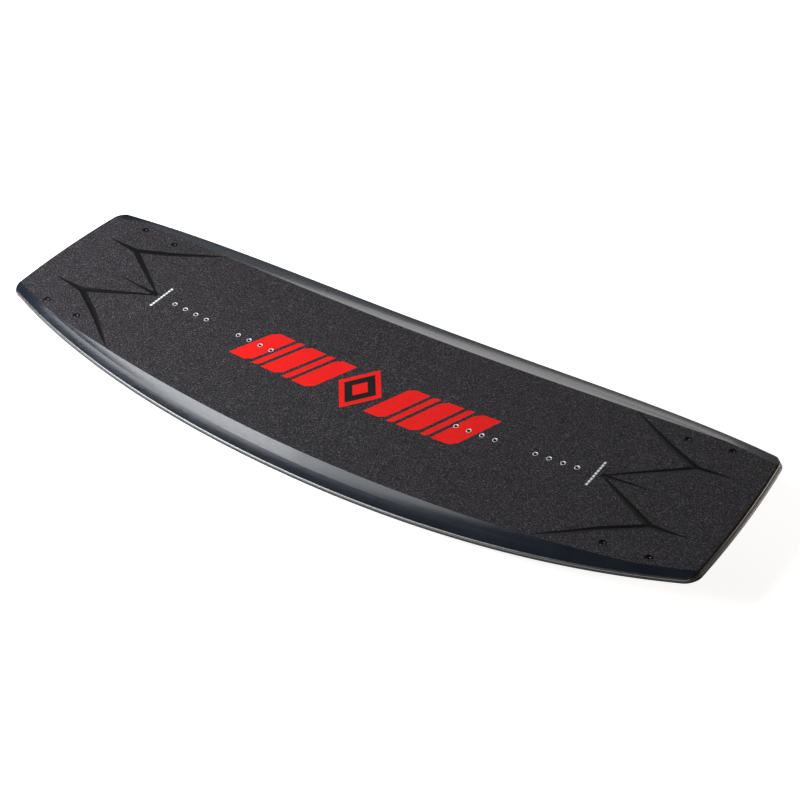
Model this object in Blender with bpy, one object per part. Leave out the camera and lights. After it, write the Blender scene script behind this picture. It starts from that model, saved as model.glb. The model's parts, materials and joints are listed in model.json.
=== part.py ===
"""A 142 cm twin-tip wakeboard, laminated layer by layer as the real board is.

+X runs along the board to the nose, +Y to the toe edge and +Z up off the deck. The origin is
on the floor under the middle of the base. From below, the board is a base sheet, a glass
laminate, a wood core, a second laminate and a top sheet. Rails close its long edges and a
spacer closes each tip. Threaded inserts for the bindings sit in strips let into the core.
Under each corner hangs a fin, held by two bolts that pass through sleeves in the board.
"""

import math

import bmesh
import bpy
from mathutils import Vector

MM = 0.001
INCH = 25.4 * MM
GAP = 0.3 * MM

# Planform
LENGTH = 1416 * MM
HALF_LENGTH = LENGTH / 2
WIDTH = 440 * MM
SIDE_DROP = 49 * MM
SIDE_TAPER = 29 * MM
TIP_BULGE = 6 * MM
CORNER_TANGENT = 19 * MM
CORNER_STEPS = 5
SPACER_START = 660 * MM
SEGMENTS = 21

# Rocker line and thickness
TIP_LIFT = 70.5 * MM
TIP_RELAX = 5.5 * MM
CENTRE_THICKNESS = 17.5 * MM
TIP_THICKNESS = 10 * MM

# Rail profile, as insets from the edge and heights above the base
LIP_HEIGHT = 7.1 * MM
LIP_RISE = 1.3 * MM
FLANGE_INSET = 21.7 * MM
FLANGE_NARROWING = 2.3 * MM
FLANGE_HEIGHT = 11.3 * MM
FLANGE_RISE = 1.0 * MM
DECK_INSET = 42.6 * MM
DECK_WIDENING = 16.5 * MM
DECK_WIDENING_AT_TIP = 20 * MM
FLANGE_SHARE = 0.85

# Layers
BASE_SHEET = 1.0 * MM
LAMINATE = 0.8 * MM
TOP_SHEET = 0.8 * MM
CORE_FLOOR = BASE_SHEET + LAMINATE + 2 * GAP
CORE_COVER = TOP_SHEET + LAMINATE + 2 * GAP
RAIL_WIDTH = 8 * MM
LINE_STEP = 1.5 * MM

# Binding inserts: four on each side of a foot's centre, one inch apart
FOOT_CENTRE = 12.3 * INCH
INSERT_OFFSETS = [steps * INCH for steps in (-4.5, -3.5, -2.5, -1.5, 1.5, 2.5, 3.5, 4.5)]
INSERT_RADIUS = 4.6 * MM
INSERT_BORE = INCH / 8
INSERT_LENGTH = 11.4 * MM
INSERT_BORE_DEPTH = 9.5 * MM
INSERT_FLANGE_RADIUS = 6.6 * MM
INSERT_FLANGE = 1.8 * MM
STRIP_HALF_WIDTH = 13 * MM
STRIP_END = 13 * MM
STRIP_THICKNESS = 7 * MM

# Fins and their bolts
FIN_CENTRE = 586.5 * MM
FIN_LINE = 130.5 * MM
BOLT_PITCH = 75 * MM
THREAD_TRAVEL = 8 * MM
SLEEVE_RADIUS = 6.6 * MM
SLEEVE_BORE = 3.4 * MM
SLEEVE_LIFT = 0.5 * MM
SLEEVE_SINK = 0.2 * MM
RECESS_RADIUS = 5.5 * MM
RECESS_DEPTH = 4.3 * MM
HEAD_RADIUS = 4.9 * MM
HEAD_HEIGHT = 2.9 * MM
SOCKET_RADIUS = 2.3 * MM
SOCKET_DEPTH = 1.9 * MM
SHANK_RADIUS = 2.7 * MM
NUT_RADIUS = 4.2 * MM
NUT_BORE = 3.05 * MM
NUT_TOP = -1.8 * MM
SHANK_END = NUT_TOP - THREAD_TRAVEL + GAP
NUT_END = NUT_TOP - THREAD_TRAVEL
FIN_TOP = -GAP
POCKET_DEPTH_SPARE = 1.3 * MM
POCKET_END = NUT_END - POCKET_DEPTH_SPARE
FIN_POINTS = 20
# Depth under the fin's top, length, thickness, rake towards the tip, and how square the outline is
FIN_RINGS = (
    (0 * MM, 112 * MM, 13.6 * MM, 0 * MM, 4.0),
    (3 * MM, 112 * MM, 13.6 * MM, 0 * MM, 4.0),
    (12 * MM, 107 * MM, 12.2 * MM, 1 * MM, 4.0),
    (18 * MM, 97 * MM, 6.6 * MM, 2.5 * MM, 3.2),
    (26 * MM, 76 * MM, 3.4 * MM, 5 * MM, 2.4),
)

ROUND_SIDES = 12
SHARP_ANGLE = math.radians(40)
CUT_MARGIN = 6 * MM
SOLVER_STEPS = 8


def clear_scene():
    for old in list(bpy.data.objects):
        bpy.data.objects.remove(old, do_unlink=True)


def material(name, colour, roughness, metallic=0.0):
    made = bpy.data.materials.new(name)
    made.use_nodes = True
    shader = made.node_tree.nodes["Principled BSDF"]
    shader.inputs["Base Color"].default_value = (*colour, 1.0)
    shader.inputs["Roughness"].default_value = roughness
    shader.inputs["Metallic"].default_value = metallic
    made.diffuse_color = (*colour, 1.0)
    return made


def add_object(name, mesh, finish=None):
    made = bpy.data.objects.new(name, mesh)
    bpy.context.scene.collection.objects.link(made)
    if finish and not mesh.materials:
        mesh.materials.append(finish)
    return made


def closed_mesh(name, shape):
    """Turns a finished bmesh into a mesh of triangles that all face out."""
    bmesh.ops.triangulate(shape, faces=shape.faces)
    bmesh.ops.recalc_face_normals(shape, faces=shape.faces)
    mesh = bpy.data.meshes.new(name)
    shape.to_mesh(mesh)
    shape.free()
    return mesh


# The board's surfaces


def tip_share(x):
    return (x / HALF_LENGTH) ** 2


def curve_height(x):
    share = tip_share(x)
    return TIP_LIFT * share - TIP_RELAX * share**2


def rocker(x):
    """Height of the base, with a short flat spot in the middle that the board rests on."""
    flat_end = SPACER_START / SEGMENTS
    return max(0.0, curve_height(x) - curve_height(flat_end))


def rocker_slope(x):
    share = tip_share(x)
    return 2 * (TIP_LIFT - 2 * TIP_RELAX * share) * x / HALF_LENGTH**2


def thickness(x):
    return TIP_THICKNESS + (CENTRE_THICKNESS - TIP_THICKNESS) * (1 - tip_share(x))


def half_width(x):
    share = tip_share(x)
    return WIDTH / 2 - SIDE_DROP * share - SIDE_TAPER * share**2


def flange_inset(x):
    return FLANGE_INSET - FLANGE_NARROWING * tip_share(x)


def deck_inset(x):
    """Where the flat deck starts: the bevel narrows towards a tip, until only the flange is left."""
    share = tip_share(x)
    bevelled = DECK_INSET - DECK_WIDENING * share - DECK_WIDENING_AT_TIP * share**2
    return max(bevelled, flange_inset(x))


def top_height(x, inset):
    """Height above the base, at a distance in from the edge: flange, bevel, then flat deck."""
    edge = LIP_HEIGHT + LIP_RISE * tip_share(x)
    deck = thickness(x)
    crease = FLANGE_HEIGHT + FLANGE_RISE * tip_share(x)
    outer, inner = flange_inset(x), deck_inset(x)
    if inset >= inner:
        return deck
    if outer >= inner:
        return edge + (deck - edge) * max(inset, 0) / inner
    if inset >= outer:
        return crease + (deck - crease) * (inset - outer) / (inner - outer)
    return edge + (crease - edge) * max(inset, 0) / outer


def base_z(x, y):
    return rocker(x)


def deck_z(x, y):
    return rocker(x) + top_height(x, half_width(x) - abs(y))


def shifted(surface, distance):
    return lambda x, y: surface(x, y) + distance


# The board's plan


def stations(start=-SPACER_START, end=SPACER_START):
    """Evenly spaced places along the board, with the middle pair either side of its centre."""
    step = 2 * SPACER_START / SEGMENTS
    inner = [-SPACER_START + step * i for i in range(SEGMENTS + 1)]
    return [start] + [x for x in inner if start + LINE_STEP < x < end - LINE_STEP] + [end]


def mirrored(half):
    """A line of plan points from the heel edge to the toe edge, from its heel half."""
    return half + [(x, -y) for x, y in reversed(half[:-1])]


def cross_line(x, rim=0.0):
    """A line across the board, with the deck's edge repeated where the tip's corner fans out."""
    flange = max(min(flange_inset(x), FLANGE_SHARE * deck_inset(x)), rim + LINE_STEP)
    deck = max(deck_inset(x), rim + 2 * LINE_STEP)
    edge_points = [(x, inset - half_width(x)) for inset in (rim, flange)]
    deck_points = [(x, deck - half_width(x))] * CORNER_STEPS
    return mirrored(edge_points + deck_points + [(x, 0.0)])


def tip_x(y):
    return HALF_LENGTH - TIP_BULGE * (y / half_width(HALF_LENGTH)) ** 2


def corner_points():
    """The rounded corner, as an arc from the side curve to the tip curve."""
    x, y = HALF_LENGTH, half_width(HALF_LENGTH)
    for _ in range(SOLVER_STEPS):
        x, y = tip_x(y), half_width(x)
    side_slope = (half_width(x) - half_width(x - CORNER_TANGENT)) / CORNER_TANGENT
    tip_slope = (tip_x(y) - tip_x(y - CORNER_TANGENT)) / CORNER_TANGENT
    start_x = x - CORNER_TANGENT * math.cos(math.atan(side_slope))
    end_y = y - CORNER_TANGENT * math.cos(math.atan(tip_slope))
    start = Vector((start_x, half_width(start_x)))
    middle = Vector((x, y))
    end = Vector((tip_x(end_y), end_y))
    turn = (middle - start).angle(end - middle)
    pull = math.cos(turn / 2)
    points = []
    for i in range(CORNER_STEPS + 1):
        t = i / CORNER_STEPS
        weights = ((1 - t) ** 2, 2 * pull * t * (1 - t), t**2)
        arc = (start * weights[0] + middle * weights[1] + end * weights[2]) / sum(weights)
        points.append((arc.x, arc.y))
    return points


def tip_line(side):
    """The outline of one tip, from the heel edge round to the toe edge."""
    corner = corner_points()
    half_y = corner[-1][1] / 2
    half = corner + [(tip_x(half_y), half_y), (HALF_LENGTH, 0.0)]
    return mirrored([(side * x, -y) for x, y in half])


def slab(name, lines, bottom, top, finish=None):
    """A solid between two surfaces, over plan lines that all have the same number of points."""
    shape = bmesh.new()
    made = {}

    def corner(point, surface):
        key = (point, surface)
        if key not in made:
            made[key] = shape.verts.new((*point, surface(*point)))
        return made[key]

    def add_face(corners):
        different = list(dict.fromkeys(corners))
        if len(different) > 2:
            shape.faces.new(different)

    for before, after in zip(lines, lines[1:]):
        for i in range(len(before) - 1):
            patch = (before[i], after[i], after[i + 1], before[i + 1])
            add_face([corner(p, top) for p in patch])
            add_face([corner(p, bottom) for p in reversed(patch)])
    heel_edge = [line[0] for line in lines]
    toe_edge = [line[-1] for line in lines]
    for border in (heel_edge, toe_edge, lines[0], lines[-1]):
        for p, q in zip(border, border[1:]):
            add_face([corner(p, bottom), corner(q, bottom), corner(q, top), corner(p, top)])
    return add_object(name, closed_mesh(name, shape), finish)


# Turned and lofted shapes


def circle(radius, sides=ROUND_SIDES):
    turns = [2 * math.pi * i / sides for i in range(sides)]
    return [(radius * math.cos(a), radius * math.sin(a)) for a in turns]


def hexagon(radius):
    """Six corners and the middles of the sides between them, to match a ring of twelve."""
    ring = circle(radius)
    middle = math.cos(math.pi / 6)
    return [(x * middle, y * middle) if i % 2 else (x, y) for i, (x, y) in enumerate(ring)]


def add_rings(shape, rings, closed=False):
    """Skins a row of rings, each an outline and its height, and caps the ends of an open row."""
    loops = [[shape.verts.new((x, y, z)) for x, y in ring] for ring, z in rings]
    pairs = list(zip(loops, loops[1:]))
    if closed:
        pairs.append((loops[-1], loops[0]))
    for low, high in pairs:
        for i in range(len(low)):
            j = (i + 1) % len(low)
            shape.faces.new((low[i], low[j], high[j], high[i]))
    if not closed:
        shape.faces.new(loops[0])
        shape.faces.new(loops[-1])


def ring_mesh(name, rings, closed=False, finish=None):
    shape = bmesh.new()
    add_rings(shape, rings, closed)
    mesh = closed_mesh(name, shape)
    mesh.shade_smooth()
    mesh.set_sharp_from_angle(angle=SHARP_ANGLE)
    if finish:
        mesh.materials.append(finish)
    return mesh


def empty(name, location, slope):
    """A reference frame on the board, with its Z axis square to a surface of that slope."""
    made = bpy.data.objects.new(name, None)
    bpy.context.scene.collection.objects.link(made)
    made.location = location
    made.rotation_euler = (0, -math.atan(slope), 0)
    return made


def placed(name, mesh, parent, offset=(0, 0, 0)):
    made = add_object(name, mesh)
    made.parent = parent
    made.location = offset
    return made


def as_cutter(cutter):
    cutter.hide_render = True
    cutter.display_type = "WIRE"
    return cutter


def cut(target, cutter):
    modifier = target.modifiers.new(cutter.name, "BOOLEAN")
    modifier.operation = "DIFFERENCE"
    modifier.solver = "EXACT"
    modifier.object = cutter


# Layers


def build_layers(finishes):
    """The sheets, laminates and core, from the base up."""
    straight = stations()
    outer = [tip_line(-1)] + [cross_line(x) for x in straight] + [tip_line(1)]
    inner = [cross_line(x, RAIL_WIDTH + GAP) for x in straight]
    base_top = shifted(base_z, BASE_SHEET)
    lower_glass = (shifted(base_z, BASE_SHEET + GAP), shifted(base_z, CORE_FLOOR - GAP))
    upper_glass = (shifted(deck_z, GAP - CORE_COVER), shifted(deck_z, -TOP_SHEET - GAP))
    core = (shifted(base_z, CORE_FLOOR), shifted(deck_z, -CORE_COVER))
    return {
        "base_sheet": slab("base_sheet", outer, base_z, base_top, finishes["base"]),
        "bottom_laminate": slab("bottom_laminate", inner, *lower_glass, finishes["glass"]),
        "wood_core": slab("wood_core", inner, *core, finishes["wood"]),
        "top_laminate": slab("top_laminate", inner, *upper_glass, finishes["glass"]),
        "top_sheet": slab(
            "top_sheet", outer, shifted(deck_z, -TOP_SHEET), deck_z, finishes["deck"]
        ),
    }


def build_edges(finishes):
    """A rail along each side and a spacer in each tip, between the two sheets."""
    bottom = shifted(base_z, BASE_SHEET + GAP)
    top = shifted(deck_z, -TOP_SHEET - GAP)
    for name, side in (("toe_rail", 1), ("heel_rail", -1)):
        lines = []
        for x in stations():
            edge = half_width(x)
            lines.append([(x, side * (edge - RAIL_WIDTH)), (x, side * edge)])
        slab(name, lines, bottom, top, finishes["rail"])
    for name, side in (("nose_spacer", 1), ("tail_spacer", -1)):
        lines = [cross_line(side * (SPACER_START + GAP)), tip_line(side)]
        slab(name, lines, bottom, top, finishes["rail"])


# Binding inserts


def strip_lines(foot, margin):
    """Plan of the strip that carries one foot's inserts, grown by a margin."""
    reach = INSERT_OFFSETS[-1] + STRIP_END + margin
    half = STRIP_HALF_WIDTH + margin
    return [[(x, -half), (x, half)] for x in stations(foot - reach, foot + reach)]


def insert_mesh(finish):
    """A bush for a quarter-inch screw, flush with the deck, with a flange under its strip."""
    neck = INSERT_FLANGE - INSERT_LENGTH
    rings = [
        (circle(INSERT_FLANGE_RADIUS), -INSERT_LENGTH),
        (circle(INSERT_FLANGE_RADIUS), neck),
        (circle(INSERT_RADIUS), neck),
        (circle(INSERT_RADIUS), 0),
        (circle(INSERT_BORE), 0),
        (circle(INSERT_BORE), -INSERT_BORE_DEPTH),
    ]
    return ring_mesh("binding_insert", rings, finish=finish)


def insert_frame(name, x):
    """A frame on the deck's centre line at x."""
    thinning = -2 * (CENTRE_THICKNESS - TIP_THICKNESS) * x / HALF_LENGTH**2
    return empty(name, (x, 0, deck_z(x, 0)), rocker_slope(x) + thinning)


def build_inserts(layers, finishes):
    bush = insert_mesh(finishes["steel"])
    hole = ring_mesh(
        "insert_hole",
        [(circle(INSERT_RADIUS + GAP), z) for z in (-INSERT_LENGTH - CUT_MARGIN, CUT_MARGIN)],
    )
    strip_top = shifted(deck_z, -CORE_COVER)
    strip_bottom = shifted(deck_z, -CORE_COVER - STRIP_THICKNESS)
    pocket_floor = shifted(deck_z, -INSERT_LENGTH - GAP)
    pocket_top = shifted(deck_z, CUT_MARGIN)
    for end, side in (("nose", 1), ("tail", -1)):
        foot = side * FOOT_CENTRE
        strip = slab(
            f"insert_strip_{end}", strip_lines(foot, 0), strip_bottom, strip_top, finishes["strip"]
        )
        pocket_plan = strip_lines(foot, GAP)
        pocket = slab(f"strip_pocket_{end}", pocket_plan, pocket_floor, pocket_top)
        cut(layers["wood_core"], as_cutter(pocket))
        for number, offset in enumerate(INSERT_OFFSETS, start=1):
            frame = insert_frame(f"insert_frame_{end}_{number}", side * (FOOT_CENTRE + offset))
            placed(f"binding_insert_{end}_{number}", bush, frame)
            cutter = as_cutter(placed(f"insert_hole_{end}_{number}", hole, frame))
            for target in (strip, layers["top_laminate"], layers["top_sheet"]):
                cut(target, cutter)


# Fins and their bolts


def fin_outline(length, width, rake, power):
    """A long outline with rounded ends: squarer where the power is high."""
    points = []
    for i in range(FIN_POINTS):
        turn = 2 * math.pi * (i + 0.5) / FIN_POINTS
        across, along = math.sin(turn), math.cos(turn)
        x = math.copysign(abs(along) ** (2 / power), along) * length / 2
        points.append((x + rake, across * width / 2))
    return points


def fin_mesh(side, finish):
    rings = [
        (fin_outline(length, width, side * rake, power), FIN_TOP - depth)
        for depth, length, width, rake, power in reversed(FIN_RINGS)
    ]
    return ring_mesh("fin", rings, finish=finish)


def pocket_mesh():
    """Cutters for the two blind pockets that hold a fin's nuts."""
    shape = bmesh.new()
    for side in (-1, 1):
        hole = [(x + side * BOLT_PITCH / 2, y) for x, y in circle(NUT_RADIUS + GAP)]
        add_rings(shape, [(hole, POCKET_END), (hole, CUT_MARGIN)])
    return closed_mesh("nut_pockets", shape)


def nut_mesh(finish):
    rings = [
        (circle(NUT_RADIUS), NUT_END),
        (circle(NUT_RADIUS), NUT_TOP),
        (circle(NUT_BORE), NUT_TOP),
        (circle(NUT_BORE), NUT_END),
    ]
    return ring_mesh("fin_nut", rings, closed=True, finish=finish)


def sleeve_mesh(top, finish):
    """A bush through the whole board, counterbored from above for the bolt's head."""
    floor = top - RECESS_DEPTH
    rings = [
        (circle(SLEEVE_RADIUS), SLEEVE_LIFT),
        (circle(SLEEVE_RADIUS), top),
        (circle(RECESS_RADIUS), top),
        (circle(RECESS_RADIUS), floor),
        (circle(SLEEVE_BORE), floor),
        (circle(SLEEVE_BORE), SLEEVE_LIFT),
    ]
    return ring_mesh("fin_sleeve", rings, closed=True, finish=finish)


def bolt_mesh(sleeve_top, finish):
    """A cap screw with a hexagon socket, resting on the sleeve's shoulder."""
    seat = sleeve_top - RECESS_DEPTH + GAP
    crown = seat + HEAD_HEIGHT
    rings = [
        (circle(SHANK_RADIUS), SHANK_END),
        (circle(SHANK_RADIUS), seat),
        (circle(HEAD_RADIUS), seat),
        (circle(HEAD_RADIUS), crown),
        (hexagon(SOCKET_RADIUS), crown),
        (hexagon(SOCKET_RADIUS), crown - SOCKET_DEPTH),
    ]
    return ring_mesh("fin_bolt", rings, finish=finish)


def deck_distance(frame_x, slope, offset):
    """How far the deck is above a fin's seat, along the bolt at that offset on the seat."""
    tilt = math.atan(slope)
    distance = thickness(frame_x)
    for _ in range(SOLVER_STEPS):
        x = frame_x + offset * math.cos(tilt) - distance * math.sin(tilt)
        z = rocker(frame_x) + offset * math.sin(tilt) + distance * math.cos(tilt)
        distance += (deck_z(x, 0) - z) * math.cos(tilt)
    return distance


def build_fins(layers, finishes):
    nut = nut_mesh(finishes["brass"])
    pockets = pocket_mesh()
    hole = ring_mesh(
        "sleeve_hole",
        [(circle(SLEEVE_RADIUS + GAP), z) for z in (-CUT_MARGIN, CENTRE_THICKNESS + CUT_MARGIN)],
    )
    for end, side in (("nose", 1), ("tail", -1)):
        slope = rocker_slope(side * FIN_CENTRE)
        blade = fin_mesh(side, finishes["fin"])
        for edge, across in (("toe", 1), ("heel", -1)):
            corner = f"{end}_{edge}"
            seat = (side * FIN_CENTRE, across * FIN_LINE, rocker(FIN_CENTRE))
            frame = empty(f"fin_frame_{corner}", seat, slope)
            fin = placed(f"fin_{corner}", blade, frame)
            cut(fin, as_cutter(placed(f"nut_pockets_{corner}", pockets, frame)))
            for place, outward in (("inner", -1), ("outer", 1)):
                offset = side * outward * BOLT_PITCH / 2
                top = deck_distance(side * FIN_CENTRE, slope, offset) - SLEEVE_SINK
                label = f"{corner}_{place}"
                spot = (offset, 0, 0)
                placed(f"fin_sleeve_{label}", sleeve_mesh(top, finishes["sleeve"]), frame, spot)
                placed(f"fin_bolt_{label}", bolt_mesh(top, finishes["bolt"]), frame, spot)
                placed(f"fin_nut_{label}", nut, frame, spot)
                cutter = as_cutter(placed(f"sleeve_hole_{label}", hole, frame, spot))
                for layer in layers.values():
                    cut(layer, cutter)


def build():
    clear_scene()
    finishes = {
        "deck": material("deck_black", (0.035, 0.034, 0.037), 0.65),
        "base": material("base_black", (0.04, 0.04, 0.042), 0.35),
        "rail": material("rail_black", (0.025, 0.026, 0.03), 0.4),
        "glass": material("glass_laminate", (0.55, 0.6, 0.5), 0.3),
        "wood": material("paulownia", (0.72, 0.62, 0.38), 0.9),
        "strip": material("strip_white", (0.7, 0.7, 0.68), 0.5),
        "steel": material("insert_steel", (0.72, 0.72, 0.72), 0.25, 1.0),
        "sleeve": material("sleeve_black", (0.03, 0.03, 0.032), 0.5),
        "bolt": material("bolt_black", (0.05, 0.05, 0.055), 0.35, 1.0),
        "brass": material("nut_brass", (0.75, 0.58, 0.28), 0.3, 1.0),
        "fin": material("fin_black", (0.03, 0.03, 0.035), 0.3),
    }
    layers = build_layers(finishes)
    build_edges(finishes)
    build_inserts(layers, finishes)
    build_fins(layers, finishes)


build()
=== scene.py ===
"""The looks of a twin-tip wakeboard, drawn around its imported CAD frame.

+X runs along the board to the nose, +Y to the toe edge and +Z up off the deck, in metres. The
deck skin, rails, spacers, base, inserts, bolts, sleeves and fins are fine meshes that stand for
their CAD nodes. The inner layers and the brass bushes keep their CAD meshes.
"""

import json
import math

import bmesh
import bpy
from mathutils import Matrix, Vector
from mathutils.geometry import delaunay_2d_cdt
from mathutils.kdtree import KDTree


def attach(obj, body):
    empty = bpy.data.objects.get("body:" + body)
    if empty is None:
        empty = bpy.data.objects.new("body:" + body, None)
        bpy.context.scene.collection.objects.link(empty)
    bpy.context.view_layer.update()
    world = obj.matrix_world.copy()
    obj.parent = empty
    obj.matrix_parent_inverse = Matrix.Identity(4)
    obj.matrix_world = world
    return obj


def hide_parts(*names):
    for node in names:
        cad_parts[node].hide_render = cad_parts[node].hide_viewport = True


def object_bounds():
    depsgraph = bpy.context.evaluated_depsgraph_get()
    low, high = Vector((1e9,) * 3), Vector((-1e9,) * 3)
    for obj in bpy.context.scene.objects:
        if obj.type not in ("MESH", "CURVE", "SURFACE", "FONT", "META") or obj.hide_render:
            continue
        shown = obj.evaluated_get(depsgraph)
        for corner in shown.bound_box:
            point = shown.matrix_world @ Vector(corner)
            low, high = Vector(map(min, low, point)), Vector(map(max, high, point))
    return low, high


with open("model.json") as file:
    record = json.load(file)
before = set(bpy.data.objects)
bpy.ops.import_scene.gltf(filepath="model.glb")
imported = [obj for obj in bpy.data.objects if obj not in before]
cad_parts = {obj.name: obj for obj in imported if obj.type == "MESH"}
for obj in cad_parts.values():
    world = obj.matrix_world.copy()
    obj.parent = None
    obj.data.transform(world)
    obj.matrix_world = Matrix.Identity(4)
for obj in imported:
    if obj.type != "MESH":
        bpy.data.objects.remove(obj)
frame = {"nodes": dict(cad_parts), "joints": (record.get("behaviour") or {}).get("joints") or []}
cad_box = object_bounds()

MM = 0.001
INCH = 25.4 * MM


def in_metres(*lengths):
    """A row of lengths in millimetres, as metres."""
    return tuple(length * MM for length in lengths)


ENDS = (("nose", 1), ("tail", -1))
EDGES = ("toe", "heel")
PLACES = ("inner", "outer")

# The CAD's driving dimensions, which the skins here follow, and how far theirs are hollowed
HALF_LENGTH = cad_box[1][0]
HALF_WIDTH = cad_box[1][1]
SIDE_DROP = 49 * MM
SIDE_TAPER = 29 * MM
TIP_BULGE = 6 * MM
CORNER_TANGENT = 19 * MM
SPACER_START = 660 * MM
CAD_SEGMENTS = 21
FLAT_END = SPACER_START / CAD_SEGMENTS
TIP_LIFT = 70.5 * MM
TIP_RELAX = 5.5 * MM
CENTRE_THICKNESS = 17.5 * MM
TIP_THICKNESS = 10 * MM
LIP_HEIGHT = 7.1 * MM
LIP_RISE = 1.3 * MM
FLANGE_INSET = 21.7 * MM
FLANGE_NARROWING = 2.3 * MM
FLANGE_HEIGHT = 11.3 * MM
FLANGE_RISE = 1.0 * MM
DECK_INSET = 42.6 * MM
DECK_WIDENING = 16.5 * MM
DECK_WIDENING_AT_TIP = 20 * MM
FLANGE_HOLLOW = 0.3
BEVEL_HOLLOW = 0.14
RAIL_WIDTH = 8 * MM
GAP = 0.3 * MM
SOLVER_STEPS = 8

# How finely the outline and the skins are divided
SIDE_STEPS = 60
CORNER_STEPS = 14
TIP_STEPS = 20
STATION_STEP = 9 * MM
CLEAR_OF_LINES = 2.2 * MM
LINE_STEP = 7 * MM
MERGE_DISTANCE = MM / 1000
QUARTERS = (0.25, 0.5, 0.75)

# Round holes through the two skins
HOLE_SIDES = 28
HOLE_BEVEL = 0.2 * MM
MOUTH_MARGIN = 0.75 * HOLE_BEVEL
CLEAR_OF_HOLES = 12 * MM

# Edge of the board, from the top down
SKIN = 0.9 * MM
BEAD_RADIUS = 2.5 * MM
BEAD_DEPTH = 2.9 * MM
BEAD_WIDTH = 3.6 * MM
BEAD_STEPS = 6
EDGE_EASE = 0.15 * MM
TIP_ROUNDING = 5.6 * MM
TIP_EDGE_SHARE = 0.3
SIDE_TURN = 0.4
SEAM = 0.25 * MM
RAIL_SETBACK = 0.35 * MM
BASE_EDGE = 1.15 * MM
BASE_SHEET = 1.0 * MM
BASE_SETBACK = 0.1 * MM
BASE_BEVEL = 0.5 * MM
# Share of the height between the two sheets, and how far the side is set in there
RAIL_PROFILE = ((0, 0.25 * MM), (0.12, 0), (0.5, -0.12 * MM), (0.88, 0), (1, 0.25 * MM))
SPACER_CUT_SHARES = (0.66, 0.33, 0, -0.33, -0.66)

# Pressed grooves in one quarter of the deck: x, y and half the groove's width along each stroke
GROOVE_APEX = 471
GROOVE_FORK = in_metres(592, 72, 6.2)
GROOVE_SLOPE = 0.13
GROOVE_STROKES = (
    (in_metres(GROOVE_APEX, 0, 4.6), in_metres(568, 0, 0.3)),
    (in_metres(GROOVE_APEX, 0, 1.6), in_metres(501, 18, 3.4), GROOVE_FORK),
    (GROOVE_FORK, in_metres(660, 72, 0.2)),
    (GROOVE_FORK, in_metres(529, 106, 5.4), in_metres(467, 146, 2.8), in_metres(443, 162, 0.3)),
)

# Print on the deck: slanted bars each side of a diamond, and a dashed line at each stance mark
BAR_SPANS = [in_metres(*span) for span in ((58, 98), (106, 119), (127, 167), (175, 188), (196, 240))]
BAR_HALF_HEIGHT = 44 * MM
BAR_SLANT = 0.42
BAR_CUT = 9 * MM
BAR_CUT_SHARE = 0.3
DIAMOND_SIZES = [in_metres(*size) for size in ((46, 58), (34, 43), (17, 21))]
STANCE_LINE = 460 * MM
STANCE_HALF_LENGTH = 31 * MM
DASHES = 9
DASH_SHARE = 0.78
DASH_HALF_WIDTH = 2 * MM

# Inserts
FOOT_CENTRE = 12.3 * INCH
INSERT_OFFSETS = [steps * INCH for steps in (-4.5, -3.5, -2.5, -1.5, 1.5, 2.5, 3.5, 4.5)]
INSERT_RADIUS = 4.6 * MM
INSERT_BORE = INCH / 8
INSERT_LENGTH = 11.4 * MM
INSERT_BORE_DEPTH = 9.5 * MM
INSERT_FLANGE_RADIUS = 6.6 * MM
INSERT_FLANGE = 1.8 * MM
INSERT_PITCH = INCH / 20
INSERT_THREAD_DEPTH = 0.45 * MM
INSERT_SIDES = 32

# Fins and bolts
BOLT_PITCH = 75 * MM
SLEEVE_RADIUS = 6.6 * MM
SLEEVE_BORE = 3.4 * MM
SLEEVE_LIFT = 0.5 * MM
SLEEVE_SINK = 0.2 * MM
RECESS_RADIUS = 5.5 * MM
RECESS_DEPTH = 4.3 * MM
HEAD_RADIUS = 4.9 * MM
HEAD_HEIGHT = 2.9 * MM
SOCKET_APOTHEM = 2.0 * MM
SOCKET_DEPTH = 1.9 * MM
SHANK_RADIUS = 2.7 * MM
SHANK_END = -9.5 * MM
BOLT_THREAD = 1.0 * MM
THREAD_DEPTH = 0.32 * MM
NUT_RADIUS = 4.2 * MM
POCKET_END = -11.1 * MM
# Depth under the fin's top, length, thickness, rake towards the tip, and how square the outline is
FIN_RINGS = (
    (*in_metres(0, 112, 13.6, 0), 4.0),
    (*in_metres(3, 112, 13.6, 0), 4.0),
    (*in_metres(12, 107, 12.2, 1), 4.0),
    (*in_metres(18, 97, 6.6, 2.5), 3.2),
    (*in_metres(26, 76, 3.4, 5), 2.4),
)
FIN_TOP = -GAP
FIN_STEPS = 26
FIN_POINTS = 96
FIN_TOP_EASE = 0.6 * MM
FIN_KEEL_EASE = 1.2 * MM
TURNED_SIDES = 36

# The camera: where it looks, from how far, and its tilt
CAMERA_AZIMUTH = math.radians(40.15)
CAMERA_ELEVATION = math.radians(39.72)
CAMERA_ROLL = math.radians(-6.11)
CAMERA_DISTANCE = 2.46
CAMERA_TARGET = Vector((0.063, 0.0268, 0))
CAMERA_LENS = 65.3

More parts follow.
